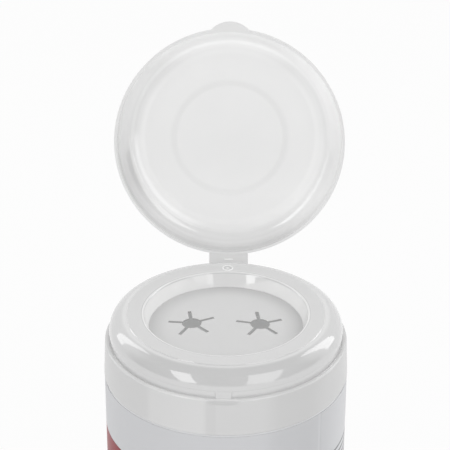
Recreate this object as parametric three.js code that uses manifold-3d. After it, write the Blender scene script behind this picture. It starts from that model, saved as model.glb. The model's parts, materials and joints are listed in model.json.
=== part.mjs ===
// Round tub of wet screen wipes with a clip-on dispensing closure and a flip cap on a living hinge.
// Millimetres, +Z up. The origin is the centre of the tub's flat base, and -Y is the front of the closure.
import * as THREE from "three";
import { mergeVertices } from "three/addons/utils/BufferGeometryUtils.js";
import Module from "manifold-3d";

const wasm = await Module();
wasm.setup();

// Facets round each turned form, and points on a quarter turn of a profile's curves.
const FACETS = 56;
const CURVE_STEPS = 6;
const FILLET_STEPS = 2;

// Tub
const TUB_RADIUS = 51.4;
const TUB_WALL = 1.4;
const SHOULDER_HEIGHT = 112.3;
const SHOULDER_ROUND = 0.8;
const BASE_CORNER = 4;
const BASE_THICKNESS = 1.8;
const BASE_GROOVE_INSET = 13.4;
const BASE_GROOVE_WIDTH = 4;
const BASE_GROOVE_DEPTH = 0.8;
const NECK_INSET = 1.9;
const NECK_HEIGHT = 14.8;
const BEAD_PROUD = 0.4;
const BEAD_HALF_HEIGHT = 1.2;
const BEAD_ABOVE_SHOULDER = 6;

// Label wrapped round the tub
const LABEL_THICKNESS = 0.3;
const LABEL_BELOW_SHOULDER = 0.6;
const LABEL_ABOVE_BASE = 7;

// Roll of wipes
const ROLL_SIDE_GAP = 4;
const ROLL_CORE_RADIUS = 15;
const ROLL_HEIGHT = 100;
const ROLL_TURNS = 9;
const ROLL_TURN_DEPTH = 0.7;

// Closure: skirt, ledge, upright band, domed ring, flat ring, dish and plug
const SKIRT_WALL = 0.9;
const SKIRT_FLARE = 0.75;
const SKIRT_CORNER = 0.9;
const LEDGE_THICKNESS = 1.6;
const LEDGE_WIDTH = 2;
const LEDGE_GROOVE_WIDTH = 0.5;
const LEDGE_GROOVE_DEPTH = 0.5;
const BAND_HEIGHT = 3;
const DOME_OVERHANG = 0.25;
const DOME_HEIGHT = 7.6;
const DOME_WIDTH = 6.9;
const FLAT_RING_WIDTH = 7.6;
const FLAT_RING_STEP = 0.3;
const DISH_LIP = 1;
const DISH_TAPER = 2.1;
const DISH_DEPTH = 6.5;
const DISH_FILLET = 0.3;
const DISH_CROWN = 1.2;
const CLOSURE_WALL = 1.5;
const FLOOR_THICKNESS = 0.9;
const PLUG_LENGTH = 5;
const PLUG_WALL = 1.3;
const PLUG_CHAMFER = 0.5;

// Dispensing stars
const STAR_SPACING = 28.8;
const STAR_ARMS = 5;
const STAR_TURN = THREE.MathUtils.degToRad(26);
const STAR_HUB_RADIUS = 4.1;
const STAR_REACH = 10.2;
const STAR_SLIT = 1.3;

// Small features of the closure
const LUG_WIDTH = 6.6;
const LUG_PROUD = 0.5;
const LUG_HEIGHT = 3.4;
const RELIEF_WIDTH = 15.6;
const RELIEF_DEPTH = 1.3;
const RELIEF_HEIGHT = 1.8;
const GATE_RADIUS = 2.45;
const GATE_RING_WIDTH = 0.6;
const GATE_DOT_RADIUS = 0.6;
const GATE_PROUD = 0.25;

// Flip cap
const CAP_SIDE_GAP = 0.9;
const CAP_RIM_WIDTH = 1.3;
const CAP_RIM_HEIGHT = 1.2;
const CAP_RIM_PROUD = 0.2;
const CAP_TOP_GAP = 1.3;
const CAP_PANEL_THICKNESS = 1.1;
const CAP_CURVE_WIDTH = 7;
const CAP_STRAIGHT = 3.6;
const CAP_BEAD = 0.15;
const CAP_BEAD_ABOVE_RIM = 1.9;
const CAP_DISC_RADIUS = 24.9;
const CAP_DISC_STEP = 0.5;
const CAP_DISC_SLOPE = 1.2;
const TAB_RADIUS = 11.2;
const TAB_PROUD = 3.4;
const TAB_THICKNESS = 1.2;

// Living hinge: two leaves of a strap that fold at one line behind the closure
const HINGE_BEHIND_SKIRT = 6.9;
const HINGE_BELOW_LEDGE = 0.5;
const STRAP_WIDTH = 17.5;
const STRAP_THICKNESS = 0.8;
const STRAP_SINK = 0.6;
const RIB_WIDTH = 4;
const RIB_SIZE = 0.5;
const RIB_ABOVE_FOLD = 4.6;
const OPEN_ANGLE = THREE.MathUtils.degToRad(101.4);

// Clearances
const SEAT_GAP = 0.3;
const LABEL_GAP = 0.1;
const SEAM_GAP = 0.3;

// Levels and radii that follow from the sizes above
const neckRadius = TUB_RADIUS - NECK_INSET;
const neckTop = SHOULDER_HEIGHT + NECK_HEIGHT;
const ledgeUnder = neckTop + SEAT_GAP;
const ledgeTop = ledgeUnder + LEDGE_THICKNESS;
const bandTop = ledgeTop + BAND_HEIGHT;
const domeTop = bandTop + DOME_HEIGHT;
const ringTop = domeTop + FLAT_RING_STEP;
const skirtBottom = SHOULDER_HEIGHT + SEAM_GAP;
const skirtInside = neckRadius + BEAD_PROUD + SEAT_GAP;
const skirtTopRadius = skirtInside + SKIRT_WALL;
const bandRadius = skirtTopRadius - LEDGE_WIDTH;
const flatRingRadius = bandRadius - DOME_WIDTH;
const dishRadius = flatRingRadius - FLAT_RING_WIDTH;
const dishFloorRadius = dishRadius - DISH_TAPER;
const dishFloor = ringTop - DISH_DEPTH;
const plugRadius = neckRadius - TUB_WALL - SEAT_GAP;
const rollRadius = TUB_RADIUS - TUB_WALL - ROLL_SIDE_GAP;
const grooveRadius = TUB_RADIUS - BASE_GROOVE_INSET;
const capRimBottom = ledgeTop + SEAT_GAP;
const capInside = bandRadius + CAP_SIDE_GAP;
const capPanelRadius = capInside - CAP_CURVE_WIDTH;
const capRimRadius = capInside + CAP_RIM_WIDTH;
const capPanelUnder = ringTop + CAP_TOP_GAP;
const hinge = { y: skirtTopRadius + HINGE_BEHIND_SKIRT, z: ledgeTop - HINGE_BELOW_LEDGE };

const QUARTER = Math.PI / 2;

const WHITE_SATIN = { color: 0xdededc, roughness: 0.42, metalness: 0 };
const WHITE_GLOSS = { color: 0xe2e2e0, roughness: 0.22, metalness: 0 };
const WHITE_TUB = { color: 0xdadbdd, roughness: 0.45, metalness: 0 };
const LABEL_FILM = { color: 0xe2e4e8, roughness: 0.35, metalness: 0 };
const DAMP_CLOTH = { color: 0xececea, roughness: 0.9, metalness: 0 };

// Points of an elliptical arc of a profile, from one angle to another, both ends included.
function arc(centreR, centreZ, radiusR, radiusZ, from, to, steps) {
  return Array.from({ length: steps + 1 }, (_, i) => {
    const angle = from + ((to - from) * i) / steps;
    return [centreR + radiusR * Math.cos(angle), centreZ + radiusZ * Math.sin(angle)];
  });
}

// A closed solid of a geometry, with its shared vertices merged and its empty triangles dropped.
function solidOf(geometry) {
  const bare = geometry.clone();
  bare.deleteAttribute("normal");
  bare.deleteAttribute("uv");
  const merged = mergeVertices(bare, 1e-4);
  const corners = merged.index.array;
  const triangles = [];
  for (let i = 0; i < corners.length; i += 3) {
    const [a, b, c] = corners.subarray(i, i + 3);
    if (a !== b && b !== c && c !== a) triangles.push(a, b, c);
  }
  return new wasm.Manifold(new wasm.Mesh({
    numProp: 3,
    vertProperties: Float32Array.from(merged.attributes.position.array),
    triVerts: Uint32Array.from(triangles),
  }));
}

// A profile of [radius, height] points turned round the Z axis.
function turned(profile, facets = FACETS) {
  const points = profile.map(([radius, height]) => new THREE.Vector2(radius, height));
  return solidOf(new THREE.LatheGeometry(points, facets).rotateX(QUARTER));
}

// An outline in the plane of Y and Z, carried along X over a width centred on the plane of symmetry.
function across(outline, width) {
  const shape = new THREE.Shape(outline.map(([y, z]) => new THREE.Vector2(y, z)));
  const geometry = new THREE.ExtrudeGeometry(shape, { depth: width, bevelEnabled: false });
  geometry.translate(0, 0, -width / 2);
  geometry.applyMatrix4(new THREE.Matrix4().makeBasis(
    new THREE.Vector3(0, 1, 0), new THREE.Vector3(0, 0, 1), new THREE.Vector3(1, 0, 0)));
  return solidOf(geometry);
}

// A shape in the plane of X and Y, carried up from one height to another.
function upright(shape, bottom, top, curveSegments) {
  const geometry = new THREE.ExtrudeGeometry(shape, {
    depth: top - bottom, bevelEnabled: false, curveSegments,
  });
  return solidOf(geometry.translate(0, 0, bottom));
}

// A named mesh of a finished solid.
function piece(name, solid, finish) {
  const { vertProperties, triVerts } = solid.getMesh();
  const geometry = new THREE.BufferGeometry();
  geometry.setAttribute("position", new THREE.BufferAttribute(vertProperties, 3));
  geometry.setIndex(new THREE.BufferAttribute(triVerts, 1));
  geometry.computeVertexNormals();
  const mesh = new THREE.Mesh(geometry, new THREE.MeshStandardMaterial(finish));
  mesh.name = name;
  return mesh;
}

// Blow-moulded tub: flat base with a stiffening groove, rounded foot, plain wall, shoulder and snap neck.
function tub() {
  const inside = TUB_RADIUS - TUB_WALL;
  const neckInside = neckRadius - TUB_WALL;
  const cornerInside = BASE_CORNER - TUB_WALL;
  const beadMiddle = SHOULDER_HEIGHT + BEAD_ABOVE_SHOULDER;
  const innerShoulder = SHOULDER_HEIGHT - TUB_WALL;
  return turned([
    [0, 0],
    [grooveRadius - BASE_GROOVE_WIDTH / 2, 0],
    [grooveRadius, BASE_GROOVE_DEPTH],
    [grooveRadius + BASE_GROOVE_WIDTH / 2, 0],
    ...arc(TUB_RADIUS - BASE_CORNER, BASE_CORNER, BASE_CORNER, BASE_CORNER, -QUARTER, 0, 4),
    ...arc(TUB_RADIUS - SHOULDER_ROUND, SHOULDER_HEIGHT - SHOULDER_ROUND, SHOULDER_ROUND, SHOULDER_ROUND,
      0, QUARTER, FILLET_STEPS),
    [neckRadius, SHOULDER_HEIGHT],
    [neckRadius, beadMiddle - BEAD_HALF_HEIGHT],
    [neckRadius + BEAD_PROUD, beadMiddle],
    [neckRadius, beadMiddle + BEAD_HALF_HEIGHT],
    [neckRadius, neckTop],
    [neckInside, neckTop],
    [neckInside, innerShoulder],
    [inside, innerShoulder - NECK_INSET],
    ...arc(TUB_RADIUS - BASE_CORNER, BASE_THICKNESS + cornerInside, cornerInside, cornerInside,
      0, -QUARTER, FILLET_STEPS),
    [0, BASE_THICKNESS],
  ]);
}

// Printed film wrapped round the straight part of the wall.
function label() {
  const inner = TUB_RADIUS + LABEL_GAP;
  const outer = inner + LABEL_THICKNESS;
  const top = SHOULDER_HEIGHT - LABEL_BELOW_SHOULDER;
  return turned([
    [inner, LABEL_ABOVE_BASE],
    [outer, LABEL_ABOVE_BASE],
    [outer, top],
    [inner, top],
    [inner, LABEL_ABOVE_BASE],
  ]);
}

// Coreless roll that is drawn from its middle: the turns show as ridges on its upper end.
function wipesRoll() {
  const bottom = BASE_THICKNESS + SEAT_GAP;
  const top = bottom + ROLL_HEIGHT;
  const turnWidth = (rollRadius - ROLL_CORE_RADIUS) / ROLL_TURNS;
  const ridges = Array.from({ length: ROLL_TURNS }, (_, i) => {
    const outer = rollRadius - i * turnWidth;
    return [[outer, top - ROLL_TURN_DEPTH], [outer - turnWidth / 2, top]];
  }).flat();
  return turned([
    [ROLL_CORE_RADIUS, bottom],
    [rollRadius, bottom],
    ...ridges,
    [ROLL_CORE_RADIUS, top - ROLL_TURN_DEPTH],
    [ROLL_CORE_RADIUS, bottom],
  ]);
}

// Section of the closure: underside of the dish, plug, skirt, ledge, band, dome, flat ring and crowned dish floor.
function closureProfile() {
  const floorUnder = dishFloor - FLOOR_THICKNESS;
  const ringUnder = ringTop - CLOSURE_WALL;
  const plugInside = plugRadius - PLUG_WALL;
  const plugBottom = ledgeUnder - PLUG_LENGTH;
  const skirtRadius = skirtTopRadius + SKIRT_FLARE;
  const domeRadius = bandRadius + DOME_OVERHANG;
  const crown = (radius, edge) => edge + DISH_CROWN * (1 - (radius / dishFloorRadius) ** 2);
  const crownAt = (edge, radii) => radii.map((radius) => [radius, crown(radius, edge)]);
  return [
    ...crownAt(floorUnder, [0, dishFloorRadius / 3, (dishFloorRadius * 2) / 3, dishFloorRadius]),
    [dishFloorRadius + CLOSURE_WALL, floorUnder + CLOSURE_WALL / 2],
    [dishRadius + CLOSURE_WALL, ringUnder],
    ...arc(flatRingRadius - CLOSURE_WALL, bandTop, plugInside - flatRingRadius + CLOSURE_WALL,
      ringUnder - bandTop, QUARTER, 0, 4),
    [plugInside, plugBottom],
    [plugRadius - PLUG_CHAMFER, plugBottom],
    [plugRadius, plugBottom + PLUG_CHAMFER],
    [plugRadius, ledgeUnder],
    [skirtInside, ledgeUnder],
    [skirtInside, skirtBottom],
    [skirtRadius, skirtBottom],
    ...arc(skirtTopRadius - SKIRT_CORNER, ledgeTop - SKIRT_CORNER, SKIRT_CORNER, SKIRT_CORNER,
      0, QUARTER, 3),
    [bandRadius + LEDGE_GROOVE_WIDTH, ledgeTop],
    [bandRadius + LEDGE_GROOVE_WIDTH / 2, ledgeTop - LEDGE_GROOVE_DEPTH],
    [bandRadius, ledgeTop - LEDGE_GROOVE_DEPTH],
    [bandRadius, bandTop],
    ...arc(flatRingRadius, bandTop, domeRadius - flatRingRadius, DOME_HEIGHT,
      0, QUARTER, CURVE_STEPS),
    [flatRingRadius - FLAT_RING_STEP, ringTop],
    ...arc(dishRadius + DISH_LIP, ringTop - DISH_LIP, DISH_LIP, DISH_LIP, QUARTER, Math.PI, FILLET_STEPS),
    [dishFloorRadius + DISH_FILLET / 2, dishFloor + DISH_FILLET],
    ...crownAt(dishFloor, [dishFloorRadius, (dishFloorRadius * 2) / 3, dishFloorRadius / 3, 0]),
  ];
}

// Outline of one dispensing star: slits with square ends that run out of a round hub.
function starShape(centreX) {
  const shape = new THREE.Shape();
  const half = STAR_SLIT / 2;
  const mouth = Math.asin(half / STAR_HUB_RADIUS);
  const pitch = (2 * Math.PI) / STAR_ARMS;
  for (let i = 0; i < STAR_ARMS; i += 1) {
    const angle = STAR_TURN + i * pitch;
    const [along, side] = [Math.cos(angle), Math.sin(angle)];
    const tip = (offset) => [
      centreX + STAR_REACH * along - offset * side,
      STAR_REACH * side + offset * along,
    ];
    if (i === 0) shape.moveTo(...tip(-half));
    else shape.lineTo(...tip(-half));
    shape.lineTo(...tip(half));
    shape.absarc(centreX, 0, STAR_HUB_RADIUS, angle + mouth, angle + pitch - mouth, false);
  }
  shape.closePath();
  return shape;
}

// Lug on the band that the rim of the cap clicks behind, with a sloping top.
function latchLug() {
  const root = bandRadius - 1;
  const foot = ledgeTop - LEDGE_THICKNESS / 2;
  const face = bandRadius + LUG_PROUD;
  const top = ledgeTop + LUG_HEIGHT;
  return across([
    [-root, foot],
    [-root, top],
    [-bandRadius, top],
    [-face, top - 2 * LUG_PROUD],
    [-face, foot],
  ].reverse(), LUG_WIDTH);
}

// Scoop in the top edge of the skirt, under the tab of the cap.
function thumbRelief() {
  const scoop = new THREE.SphereGeometry(1, 24, 12);
  scoop.scale(RELIEF_WIDTH / 2, RELIEF_DEPTH, RELIEF_HEIGHT);
  return solidOf(scoop.translate(0, -skirtTopRadius, ledgeTop - SKIRT_CORNER / 2));
}

// Ring and dot that the moulding gate leaves on the flat ring, near the hinge.
function gateMark() {
  const base = ringTop - GATE_PROUD;
  const top = ringTop + GATE_PROUD;
  const hole = GATE_RADIUS - GATE_RING_WIDTH;
  const ring = turned([[hole, base], [GATE_RADIUS, base], [GATE_RADIUS, top], [hole, top], [hole, base]], 20);
  const dot = turned([[0, base], [GATE_DOT_RADIUS, base], [GATE_DOT_RADIUS, top], [0, top]], 10);
  return ring.add(dot).translate([0, (flatRingRadius + dishRadius) / 2, 0]);
}

// Leaf of the strap that stays on the skirt: its upper face runs to the fold line.
function skirtLeaf() {
  const root = skirtTopRadius - STRAP_SINK;
  const face = ledgeTop - SKIRT_CORNER - SEAT_GAP;
  const end = hinge.y - SEAT_GAP / 2;
  return across([
    [root, face],
    [root, face - STRAP_THICKNESS],
    [end, hinge.z - STRAP_THICKNESS],
    [end, hinge.z - SEAT_GAP / 2],
  ], STRAP_WIDTH);
}

function closure() {
  const cutBottom = dishFloor - 2 * FLOOR_THICKNESS;
  const stars = [-1, 1].map((side) => upright(starShape((side * STAR_SPACING) / 2), cutBottom, ringTop, 4));
  return turned(closureProfile())
    .add(latchLug())
    .add(gateMark())
    .add(skirtLeaf())
    .subtract(thumbRelief())
    .subtract(stars[0])
    .subtract(stars[1]);
}

// Section of the flip cap in its closed place: inner face from the axis to the rim, then the outer face back.
function capProfile() {
  const outer = capInside + CAP_RIM_WIDTH - CAP_RIM_PROUD;
  const bead = capRimBottom + CAP_BEAD_ABOVE_RIM;
  const curveStart = capRimBottom + CAP_STRAIGHT;
  const top = capPanelUnder + CAP_PANEL_THICKNESS;
  return [
    [0, capPanelUnder + CAP_DISC_STEP],
    [CAP_DISC_RADIUS - CAP_DISC_SLOPE, capPanelUnder + CAP_DISC_STEP],
    [CAP_DISC_RADIUS + CAP_DISC_SLOPE, capPanelUnder],
    ...arc(capPanelRadius, curveStart, capInside - capPanelRadius, capPanelUnder - curveStart,
      QUARTER, 0, CURVE_STEPS),
    [capInside - CAP_BEAD, bead],
    [capInside, capRimBottom + CAP_RIM_HEIGHT / 2],
    [capInside, capRimBottom],
    [capRimRadius, capRimBottom],
    [capRimRadius, capRimBottom + CAP_RIM_HEIGHT],
    [outer, capRimBottom + CAP_RIM_HEIGHT + CAP_RIM_PROUD],
    ...arc(capPanelRadius, curveStart, outer - capPanelRadius, top - curveStart,
      0, QUARTER, CURVE_STEPS),
    [CAP_DISC_RADIUS + CAP_DISC_SLOPE, top],
    [CAP_DISC_RADIUS - CAP_DISC_SLOPE, top + CAP_DISC_STEP],
    [0, top + CAP_DISC_STEP],
  ];
}

// Thumb tab: the part of a round plate that stands out past the rim.
function thumbTab() {
  const shape = new THREE.Shape();
  shape.absarc(0, TAB_RADIUS - capRimRadius - TAB_PROUD, TAB_RADIUS, 0, 2 * Math.PI, false);
  const plate = upright(shape, capRimBottom, capRimBottom + TAB_THICKNESS, 20);
  const core = turned([
    [0, capRimBottom - TAB_THICKNESS],
    [capInside + CAP_RIM_WIDTH / 2, capRimBottom - TAB_THICKNESS],
    [capInside + CAP_RIM_WIDTH / 2, capRimBottom + 2 * TAB_THICKNESS],
    [0, capRimBottom + 2 * TAB_THICKNESS],
  ]);
  return plate.subtract(core);
}

// Leaf of the strap that turns with the cap, with a small rib on the face that shows when the cap is open.
function capLeaf() {
  const root = capRimRadius - STRAP_SINK;
  const face = capRimBottom + SEAT_GAP / 2;
  const end = hinge.y - SEAT_GAP / 2;
  const faceAt = (y) => hinge.z + SEAT_GAP / 2 + ((face - hinge.z) * (end - y)) / (end - root);
  const ribY = hinge.y - RIB_ABOVE_FOLD;
  const leaf = across([
    [root, faceAt(root) + STRAP_THICKNESS],
    [root, faceAt(root)],
    [end, faceAt(end)],
    [end, faceAt(end) + STRAP_THICKNESS],
  ], STRAP_WIDTH);
  const rib = across([
    [ribY - RIB_SIZE / 2, faceAt(ribY) + RIB_SIZE],
    [ribY - RIB_SIZE / 2, faceAt(ribY) - RIB_SIZE / 2],
    [ribY + RIB_SIZE / 2, faceAt(ribY) - RIB_SIZE / 2],
    [ribY + RIB_SIZE / 2, faceAt(ribY) + RIB_SIZE],
  ], RIB_WIDTH);
  return leaf.add(rib);
}

// The cap is built closed, with its origin moved to the fold line, so that its group opens it.
function flipCap() {
  return turned(capProfile())
    .add(thumbTab())
    .add(capLeaf())
    .translate([0, -hinge.y, -hinge.z]);
}

const opened = new THREE.Group();
opened.position.set(0, hinge.y, hinge.z);
opened.rotation.x = -OPEN_ANGLE;
opened.add(piece("flip_cap", flipCap(), WHITE_GLOSS));

const pack = new THREE.Group();
pack.add(
  piece("tub", tub(), WHITE_TUB),
  piece("label", label(), LABEL_FILM),
  piece("wipes_roll", wipesRoll(), DAMP_CLOTH),
  piece("closure", closure(), WHITE_SATIN),
  opened,
);

export default pack;
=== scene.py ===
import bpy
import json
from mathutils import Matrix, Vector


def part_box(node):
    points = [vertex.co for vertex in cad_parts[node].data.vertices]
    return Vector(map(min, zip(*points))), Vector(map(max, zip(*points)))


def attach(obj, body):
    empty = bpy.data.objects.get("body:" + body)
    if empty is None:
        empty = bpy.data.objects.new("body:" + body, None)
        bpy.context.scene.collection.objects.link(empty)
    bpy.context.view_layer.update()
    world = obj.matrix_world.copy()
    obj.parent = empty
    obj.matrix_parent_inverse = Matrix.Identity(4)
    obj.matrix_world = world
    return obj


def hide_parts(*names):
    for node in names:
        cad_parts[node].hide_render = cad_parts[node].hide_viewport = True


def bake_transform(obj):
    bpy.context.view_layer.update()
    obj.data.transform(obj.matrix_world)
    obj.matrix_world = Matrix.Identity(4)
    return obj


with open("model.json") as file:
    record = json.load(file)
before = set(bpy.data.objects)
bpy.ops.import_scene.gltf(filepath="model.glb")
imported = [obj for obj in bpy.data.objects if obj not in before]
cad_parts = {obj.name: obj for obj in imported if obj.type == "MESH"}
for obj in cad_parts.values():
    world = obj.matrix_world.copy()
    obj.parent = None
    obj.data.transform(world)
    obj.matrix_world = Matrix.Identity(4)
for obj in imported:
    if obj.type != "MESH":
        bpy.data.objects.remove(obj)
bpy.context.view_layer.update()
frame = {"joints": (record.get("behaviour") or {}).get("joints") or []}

import json
import math

import bpy
import numpy as np
from bpy.props import FloatProperty, FloatVectorProperty, IntProperty, PointerProperty
from mathutils import Matrix, Vector

bl_info = {
    "name": "Wipes tub",
    "version": (1, 0, 0),
    "blender": (4, 5, 0),
    "location": "View3D > Sidebar > Wipes tub",
    "description": "Dresses a round tub of wet wipes with a star-slit closure and a flip cap",
    "category": "Add Mesh",
}

MM = 0.001
TURN = 2 * math.pi
FRONT = -math.pi / 2
RAYS = ("Camera", "Glossy", "Transmission")
BLACK = (0.0, 0.0, 0.0)
PICTURE_WIDTH = 450

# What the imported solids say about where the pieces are
CLOSURE_LOW, CLOSURE_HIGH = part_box("closure")
TUB_LOW, TUB_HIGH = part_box("tub")
LABEL_LOW, LABEL_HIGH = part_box("label")
ROLL_LOW, ROLL_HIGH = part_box("wipes_roll")
HINGE = next(joint for joint in frame["joints"] if joint["name"] == "flip_cap_hinge")
HINGE_Y, HINGE_Z = HINGE["pos_m"][1], HINGE["pos_m"][2]
OPEN_ANGLE = math.radians(HINGE["range_deg"][1])


def length(millimetres, name, description):
    return FloatProperty(name=name, description=description, default=millimetres * MM, unit="LENGTH", precision=5)


def angle(degrees, name, description):
    return FloatProperty(name=name, description=description, default=math.radians(degrees), subtype="ANGLE")


def share(value, name, description):
    return FloatProperty(name=name, description=description, default=value, min=0.0, max=1.0, subtype="FACTOR")


def colour(value, name, description):
    return FloatVectorProperty(name=name, description=description, default=value, size=3, subtype="COLOR",
                               min=0.0, max=1.0)


class ClosureSizes(bpy.types.PropertyGroup):
    """Sizes of the closure's section, its stars and its small features."""

    gate_proud: length(0.25, "Gate height", "How far the moulding gate's ring stands on the flat ring")
    wall: length(1.5, "Wall", "Thickness of the dome and of the dish wall")
    skirt_inside: length(50.2, "Skirt bore", "Inner radius of the skirt")
    skirt_top: length(51.1, "Skirt top", "Outer radius of the skirt at its top edge")
    skirt_corner: length(0.9, "Skirt edge", "Rounding of the skirt's top edge")
    ledge_drop: length(11.0, "Ledge depth", "From the flat ring down to the ledge that the cap rests on")
    ledge_thickness: length(1.6, "Ledge thickness", "Thickness of the ledge")
    groove_width: length(0.5, "Groove width", "Width of the groove at the band's foot")
    groove_depth: length(0.5, "Groove depth", "Depth of the groove at the band's foot")
    band: length(49.1, "Band", "Outer radius of the upright band under the dome")
    band_height: length(3.0, "Band height", "Height of the upright band")
    overhang: length(0.25, "Overhang", "How far the dome's lower edge stands out over the band")
    dome_height: length(7.6, "Dome height", "Height of the domed ring")
    flat_ring: length(42.2, "Flat ring", "Outer radius of the flat ring")
    flat_step: length(0.3, "Ring step", "Height of the step between dome and flat ring")
    dish: length(34.6, "Dish mouth", "Radius of the dish at its mouth")
    dish_lip: length(1.0, "Dish lip", "Rounding of the dish's mouth")
    floor: length(32.5, "Dish floor", "Radius of the dish's floor")
    dish_depth: length(6.5, "Dish depth", "Depth of the dish at the edge of its floor")
    dish_fillet: length(0.3, "Dish fillet", "Rounding between the dish's wall and floor")
    crown: length(1.2, "Crown", "Rise of the dish's floor towards its middle")
    floor_thickness: length(0.9, "Floor thickness", "Thickness of the dish's floor")
    plug: length(47.8, "Plug", "Outer radius of the plug that seals in the neck")
    plug_wall: length(1.3, "Plug wall", "Thickness of the plug")
    plug_length: length(5.0, "Plug length", "Length of the plug under the ledge")
    star_spacing: length(28.8, "Star spacing", "Distance between the middles of the two stars")
    star_hub: length(4.1, "Star hub", "Radius of a star's round hub")
    star_reach: length(10.2, "Star reach", "From a star's middle to the end of a slit")
    star_slit: length(1.5, "Slit", "Width of a slit")
    star_turn: angle(26.0, "Star turn", "Direction of the first slit of each star")
    star_chamfer: length(0.14, "Slit chamfer", "Chamfer of the stars' upper edges")
    lug_width: length(6.6, "Lug width", "Width of the latch lug on the band")
    lug_height: length(3.4, "Lug height", "Height of the latch lug")
    lug_proud: length(0.5, "Lug depth", "How far the latch lug stands out of the band")
    relief_width: length(15.6, "Relief width", "Width of the thumb relief")
    relief_depth: length(1.3, "Relief depth", "Depth of the thumb relief")
    relief_height: length(1.8, "Relief height", "Half the height of the thumb relief's scoop")
    gate_radius: length(2.45, "Gate ring", "Outer radius of the gate's ring")
    gate_width: length(0.6, "Gate ring width", "Width of the gate's ring")
    gate_dot: length(0.6, "Gate dot", "Radius of the dot in the gate's ring")


class CapSizes(bpy.types.PropertyGroup):
    """Sizes of the flip cap and of the strap that it hangs on."""

    rim_gap: length(0.3, "Rim gap", "Gap between the shut cap's rim and the ledge")
    inside: length(50.0, "Cap bore", "Inner radius of the cap at its rim")
    rim_width: length(1.3, "Rim width", "Width of the rim")
    rim_height: length(1.2, "Rim height", "Height of the rim and thickness of the tab")
    rim_proud: length(0.2, "Rim step", "How far the rim stands out of the wall")
    top_gap: length(1.3, "Top gap", "Gap between the shut cap's panel and the flat ring")
    panel: length(43.0, "Panel", "Radius of the flat panel")
    panel_thickness: length(1.1, "Panel thickness", "Thickness of the panel")
    straight: length(3.6, "Upright wall", "Height of the upright part of the wall")
    bead: length(0.15, "Bead", "Height of the bead inside the rim")
    bead_above: length(1.9, "Bead place", "From the rim's face up to the bead")
    disc: length(24.9, "Disc", "Radius of the shallow disc in the panel, to the middle of its slope")
    disc_slope: length(1.2, "Disc slope", "Half the width of the slope round the disc")
    disc_step: length(0.25, "Disc step", "Depth of the shallow disc")
    tab_radius: length(11.2, "Tab radius", "Radius of the thumb tab's outline")
    tab_proud: length(3.4, "Tab", "How far the thumb tab stands out of the rim")
    strap_width: length(17.5, "Strap width", "Width of the hinge strap")
    strap_thickness: length(0.8, "Strap thickness", "Thickness of the strap's two leaves")
    fold_thickness: length(0.4, "Fold thickness", "Thickness of the strap where it folds")
    rib_width: length(4.0, "Rib width", "Width of the small rib on the strap")
    rib_size: length(0.5, "Rib size", "Height of the small rib on the strap")
    rib_above: length(4.6, "Rib place", "From the fold up to the small rib")


class BodySizes(bpy.types.PropertyGroup):
    """Sizes of the tub, its label and the roll inside."""

    tub_wall: length(1.4, "Tub wall", "Thickness of the tub's wall")
    tub_neck: length(49.5, "Neck", "Outer radius of the neck")
    shoulder: length(112.3, "Shoulder", "Height of the shoulder under the closure")
    shoulder_round: length(0.8, "Shoulder edge", "Rounding of the shoulder's edge")
    base_corner: length(4.0, "Foot", "Rounding of the foot")
    base_thickness: length(1.8, "Base thickness", "Thickness of the base")
    groove: length(38.0, "Base groove", "Radius of the groove in the base")
    groove_width: length(4.0, "Groove width", "Width of the groove in the base")
    groove_depth: length(0.8, "Groove depth", "Depth of the groove in the base")
    bead_proud: length(0.4, "Neck bead", "Height of the snap bead on the neck")
    bead_half: length(1.2, "Neck bead size", "Half the height of the snap bead along the neck")
    bead_above: length(6.0, "Neck bead place", "From the shoulder up to the snap bead")
    label_thickness: length(0.3, "Label", "Thickness of the label")
    label_lap: length(0.1, "Lap", "Step where the label overlaps itself")
    label_seam: angle(-39.5, "Label seam", "Where the label's end lies, from +X towards +Y")
    roll_core: length(15.0, "Roll core", "Radius of the hole through the roll")
    roll_ridge: length(0.7, "Ridge", "Depth between the turns on the roll's ends")
    roll_turns: IntProperty(name="Turns", description="Turns that show on the roll's ends", default=26)


class TubColours(bpy.types.PropertyGroup):
    """Colours of the plastics, the label and the wipes."""

    closure: colour((0.660, 0.660, 0.660), "Closure", "Moulded closure")
    # The cap's white is set lighter than the closure's as painted light, for light through the thin cap.
    cap: colour((0.780, 0.780, 0.778), "Flip cap", "Thin flip cap")
    # A painted glow, for light through the cap and for its painted highlights and painted light.
    cap_glow: colour((0.098, 0.098, 0.098), "Light through the cap", "Light that comes through the thin flip cap")
    # A painted glow, for light through the strap.
    strap_glow: colour((0.065, 0.065, 0.065), "Light through the strap", "Light that comes through the strap")
    # A painted glow, for light through the thin walls, and for painted highlights and painted light in shade.
    closure_glow: colour((0.150, 0.150, 0.148), "Light through the closure", "Light that its thin walls let in")
    # Set lighter than the closure as a painted highlight, for the gate's ring and the strap's rib.
    gate: colour((0.780, 0.780, 0.780), "Gate mark", "Smooth ring that the moulding gate leaves")
    tub: colour((0.620, 0.625, 0.640), "Tub", "Blow-moulded tub")
    label: colour((0.632, 0.637, 0.652), "Label", "White ground of the label")
    label_red: colour((0.290, 0.046, 0.056), "Label field", "Field of muted red on the label")
    label_border: colour((0.160, 0.030, 0.035), "Field border", "Darker line along the top of the label's field")
    label_rule: colour((0.230, 0.235, 0.245), "Label rules", "Thin rules on the label")
    wipes: colour((0.640, 0.640, 0.620), "Wipes", "Damp cloth")
    # A painted glow, for light through the tub's wall inside, and painted light along the seam.
    through_glow: colour((0.230, 0.230, 0.228), "Light through the wall", "Light that the thin wall lets in")
    floor: colour((0.900, 0.900, 0.900), "Floor", "Floor under the tub")


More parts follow.
